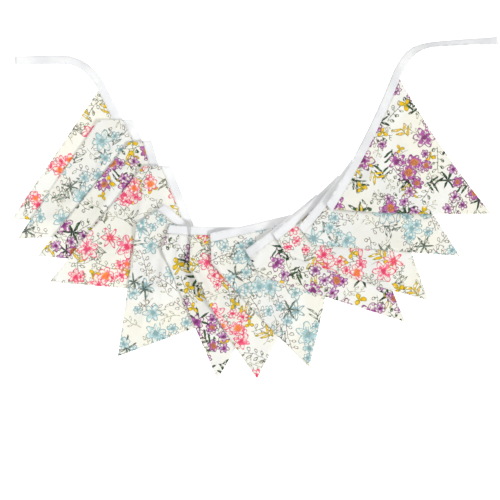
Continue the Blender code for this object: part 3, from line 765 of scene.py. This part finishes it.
def stitch_tree():
    """Geometry nodes that put one thread stitch on every point, along its way."""
    tree = bpy.data.node_groups.new("thread_stitches", "GeometryNodeTree")
    for label, way, kind in (
        ("Geometry", "INPUT", "Geometry"), ("Stitch Length", "INPUT", "Float"),
        ("Thread Radius", "INPUT", "Float"), ("Shortest", "INPUT", "Float"),
        ("Longest", "INPUT", "Float"), ("Seed", "INPUT", "Int"),
        ("Thread", "INPUT", "Material"), ("Geometry", "OUTPUT", "Geometry"),
    ):
        tree.interface.new_socket(name=label, in_out=way, socket_type="NodeSocket" + kind)
    w = Wiring(tree)
    given = w.add("NodeGroupInput").outputs
    bead = w.add("GeometryNodeMeshUVSphere", {"Segments": 6, "Rings": 5, "Radius": 1.0})
    size = w.add("ShaderNodeCombineXYZ", {
        "X": w.times(given["Stitch Length"], 0.5), "Y": given["Thread Radius"],
        "Z": given["Thread Radius"]})
    stitch = w.add("GeometryNodeTransform", {
        "Geometry": bead.outputs["Mesh"], "Scale": size.outputs[0]})
    way = w.add("GeometryNodeInputNamedAttribute", {"Name": "way"}, data_type="FLOAT_VECTOR")
    turn = w.add("FunctionNodeAlignRotationToVector", {"Vector": way.outputs[0]}, axis="X")
    uneven = w.add("FunctionNodeRandomValue", {
        2: given["Shortest"], 3: given["Longest"], "Seed": given["Seed"]}, data_type="FLOAT")
    placed = w.add("GeometryNodeInstanceOnPoints", {
        "Points": given["Geometry"], "Instance": stitch.outputs[0],
        "Rotation": turn.outputs[0], "Scale": uneven.outputs[1]})
    real = w.add("GeometryNodeRealizeInstances", {"Geometry": placed.outputs[0]})
    covered = w.add("GeometryNodeSetMaterial", {
        "Geometry": real.outputs[0], "Material": given["Thread"]})
    w.add("NodeGroupOutput", {0: covered.outputs[0]})
    return tree


tape_surface = surface_of(tape)
stitched = []
for row, pennant in zip(PENNANTS, pennants):
    stitched += stitch_row(row, surface_of(pennant), tape_surface)
spots = bpy.data.meshes.new("stitch_places")
spots.from_pydata([place for place, _ in stitched], [], [])
ways = spots.attributes.new("way", "FLOAT_VECTOR", "POINT")
ways.data.foreach_set("vector", np.array([way for _, way in stitched]).ravel())
stitches = bpy.data.objects.new("tape_stitches", spots)
bpy.context.scene.collection.objects.link(stitches)
sewing = stitches.modifiers.new("sewing", "NODES")
sewing.node_group = stitch_tree()
SEWING = {"Stitch Length": STITCH_LENGTH, "Thread Radius": THREAD_RADIUS,
          "Shortest": STITCH_LENGTHS[0], "Longest": STITCH_LENGTHS[1], "Seed": STITCH_SEED,
          "Thread": new_finish("white_thread", THREAD_FINISH)[0]}
for socket in sewing.node_group.interface.items_tree:
    if socket.in_out == "INPUT" and socket.name in SEWING:
        sewing[socket.identifier] = SEWING[socket.name]
bpy.context.view_layer.update()
sewn = stitches.evaluated_get(bpy.context.evaluated_depsgraph_get())
thread_mesh = bpy.data.meshes.new_from_object(sewn)
stitches.modifiers.clear()
stitches.data = thread_mesh
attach(stitches, "root")

# The surface, the light and the camera. The bunting is seen from straight above on white. A
# far window, to the right and towards the viewer, gives the relief. A weak lamp over the left
# end and the pale room fill in.
PICTURE = 500
PIXEL = 1.2 * MM
ORIGIN_PIXEL = (255, 208)
MIDDLE = ((PICTURE / 2 - ORIGIN_PIXEL[0]) * PIXEL, (ORIGIN_PIXEL[1] - PICTURE / 2) * PIXEL)
LENS = 200.0
FILM = 36.0
FLOOR_SIZE = 4.0
FLOOR_LEVEL = -0.2 * MM
WHITE = (1.0, 1.0, 1.0, 1.0)
FLOOR_FINISH = {"Base Color": (0.95, 0.95, 0.95, 1.0), "Roughness": 0.9,
                "Emission Color": WHITE, "Emission Strength": 0.55}
ROOM = {"Color": WHITE, "Strength": 0.60}
LIGHTS = (("window_light", (8.7, -4.5, 7.0), 1.8, 770.0),
          ("fill_light", (-1.1, 0.5, 1.7), 1.0, 15.5))

floor_bm = bmesh.new()
bmesh.ops.create_grid(floor_bm, x_segments=1, y_segments=1, size=FLOOR_SIZE)
bmesh.ops.translate(floor_bm, verts=floor_bm.verts, vec=(0.0, 0.0, FLOOR_LEVEL))
floor_mesh = bpy.data.meshes.new("floor")
floor_bm.to_mesh(floor_mesh)
floor_bm.free()
floor = bpy.data.objects.new("floor", floor_mesh)
bpy.context.scene.collection.objects.link(floor)
clothe(floor, new_finish("pale_floor", FLOOR_FINISH)[0])

world = bpy.data.worlds.new("pale_room")
bpy.context.scene.world = world
world.use_nodes = True
for label, value in ROOM.items():
    world.node_tree.nodes["Background"].inputs[label].default_value = value

for name, place, size, power in LIGHTS:
    light = bpy.data.lights.new(name, "AREA")
    light.shape = "SQUARE"
    light.size = size
    light.energy = power
    lamp = bpy.data.objects.new(name, light)
    lamp.location = place
    lamp.rotation_euler = (-Vector(place)).to_track_quat("-Z", "Y").to_euler()
    bpy.context.scene.collection.objects.link(lamp)

camera_data = bpy.data.cameras.new("camera")
camera_data.lens = LENS
camera_data.sensor_width = FILM
camera = bpy.data.objects.new("camera", camera_data)
camera.location = (*MIDDLE, PICTURE * PIXEL * LENS / FILM)
bpy.context.scene.collection.objects.link(camera)
bpy.context.scene.camera = camera
bpy.context.scene.view_settings.view_transform = "Standard"

bpy.context.view_layer.update()
